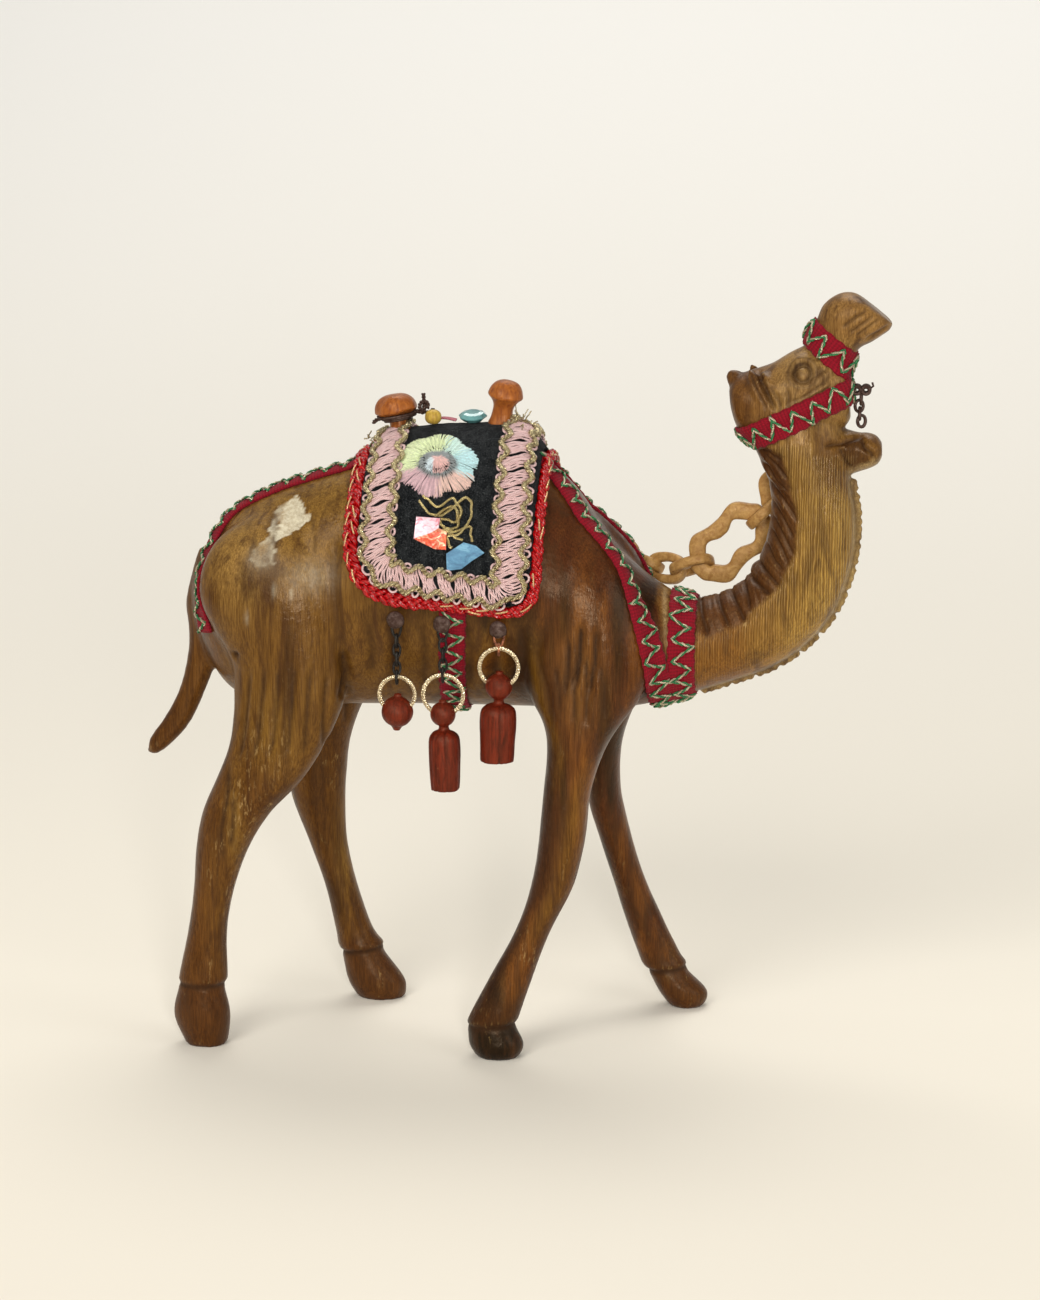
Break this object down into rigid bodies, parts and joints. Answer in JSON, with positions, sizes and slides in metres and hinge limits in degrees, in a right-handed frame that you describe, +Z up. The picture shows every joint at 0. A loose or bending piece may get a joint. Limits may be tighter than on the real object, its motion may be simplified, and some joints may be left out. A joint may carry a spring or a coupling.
{
  "type": "carved wooden camel figure",
  "caption": "Carved wooden camel souvenir, striding with raised head and open mouth, wearing woven ribbons, a braided saddle cloth, turned knobs, hanging beads and a wooden lead chain.",
  "frame": {"origin": "on the floor, under the middle of the whole figure", "axes": "+X towards the head, +Y to the far side of the animal (its left), +Z up"},
  "size_m": [0.197, 0.0598, 0.1996],
  "materials": {
    "carved_wood": "oiled, vertical grain, knife marks",
    "pale_wood": "satin, carved",
    "bead_wood": "stained red-brown, satin",
    "turned_wood": "orange-brown lacquer, chipped",
    "black_velvet": "matt pile",
    "pink_gimp": "twisted rayon yarn with gold cord",
    "red_satin": "shiny twisted cord",
    "red_ribbon": "ribbed weave with green and gold zigzag",
    "flower_yarn": "shiny floss, blended colours",
    "pink_foil": "iridescent flake",
    "blue_foil": "crazed flake",
    "dark_metal": "blackened wire",
    "copper_wire": "tarnished copper colour",
    "gold_ring": "textured gilt wire",
    "yellow_bead": "pearly",
    "teal_gem": "clear faceted glass look"
  },
  "bodies": {
    "root": {"camel_body": "carved_wood", "saddle_cloth": "black_velvet", "gimp_braid": "pink_gimp", "red_braid": "red_satin", "collar_ribbon": "red_ribbon", "breast_ribbon": "red_ribbon", "girth_ribbon": "red_ribbon", "head_band_ribbon": "red_ribbon", "noseband_ribbon": "red_ribbon", "crupper_ribbon": "red_ribbon", "flower_near": "flower_yarn", "foil_chip_near": "pink_foil", "blue_chip_near": "blue_foil", "flower_far": "flower_yarn", "foil_chip_far": "pink_foil", "blue_chip_far": "blue_foil", "front_pommel": "turned_wood", "rear_pommel": "turned_wood", "pommel_wire": "dark_metal", "yellow_bead": "yellow_bead", "glass_gem": "teal_gem", "pink_strip": "pink_gimp", "nail_near_1": "dark_metal", "drop_chain_near_1": "dark_metal", "drop_ring_near_1": "gold_ring", "pendant_near_1": "bead_wood", "nail_near_2": "dark_metal", "drop_chain_near_2": "dark_metal", "drop_ring_near_2": "gold_ring", "pendant_near_2": "bead_wood", "nail_near_3": "dark_metal", "drop_chain_near_3": "copper_wire", "drop_ring_near_3": "gold_ring", "pendant_near_3": "bead_wood", "nail_far_1": "dark_metal", "drop_chain_far_1": "dark_metal", "drop_ring_far_1": "gold_ring", "nail_far_2": "dark_metal", "drop_chain_far_2": "dark_metal", "drop_ring_far_2": "gold_ring", "nail_far_3": "dark_metal", "drop_chain_far_3": "copper_wire", "drop_ring_far_3": "gold_ring", "lead_chain": "pale_wood", "bridle_chain": "dark_metal"}
  },
  "joints": []
}
